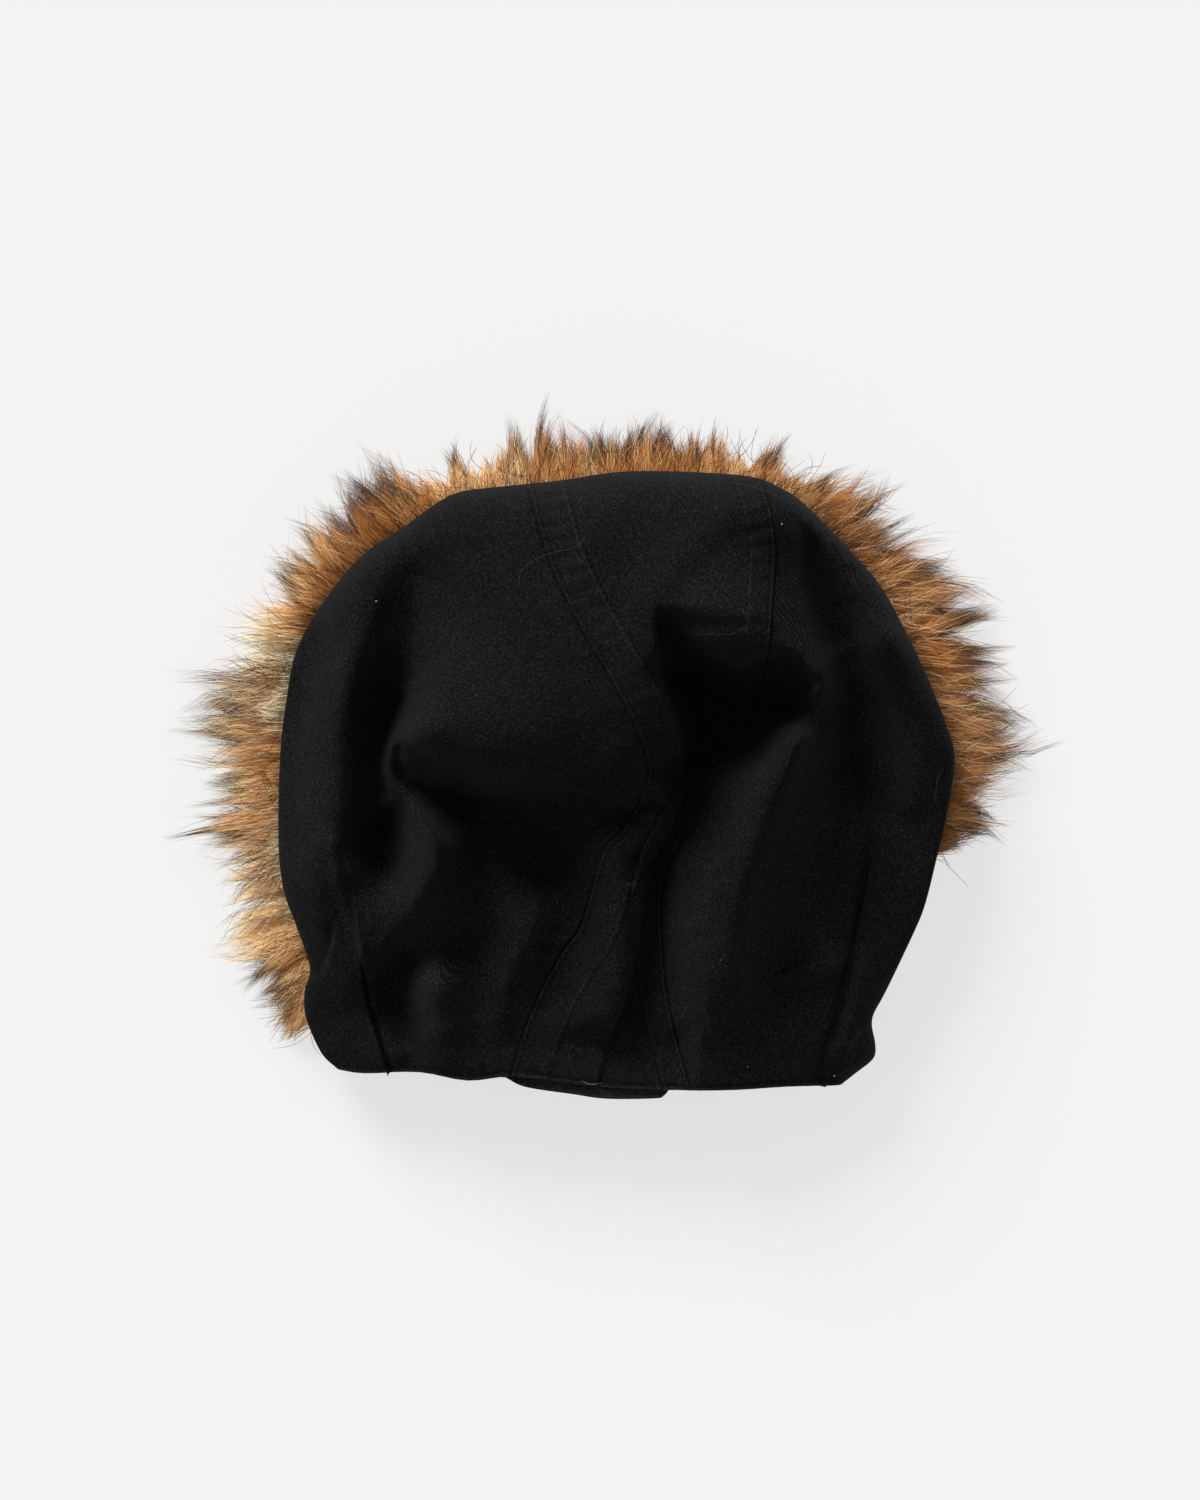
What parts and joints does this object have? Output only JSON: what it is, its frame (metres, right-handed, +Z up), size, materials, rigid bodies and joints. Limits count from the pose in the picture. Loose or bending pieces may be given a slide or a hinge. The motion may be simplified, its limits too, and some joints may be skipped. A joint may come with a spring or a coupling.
{
  "type": "detachable hood with fur trim",
  "caption": "Cloth hood in panels with a deep fur ruff round the face edge and a flat nape tab, lying on its face with its back collapsed into folds.",
  "frame": {"origin": "bottom centre of the whole hood's box, on the surface that it lies on", "axes": "+X to the right across the hood as seen from its back, +Y from the neck hem to the crown, +Z up out of the back"},
  "size_m": [0.4266, 0.3406, 0.1187],
  "materials": {
    "shell_cloth": "matt black twill",
    "tab_cloth": "matt black twill",
    "fur": "long soft pile, golden brown with dark tips"
  },
  "bodies": {
    "root": {"left_panel": "shell_cloth", "centre_panel": "shell_cloth", "right_panel": "shell_cloth", "nape_tab": "tab_cloth", "fur_trim": "fur"}
  },
  "joints": []
}
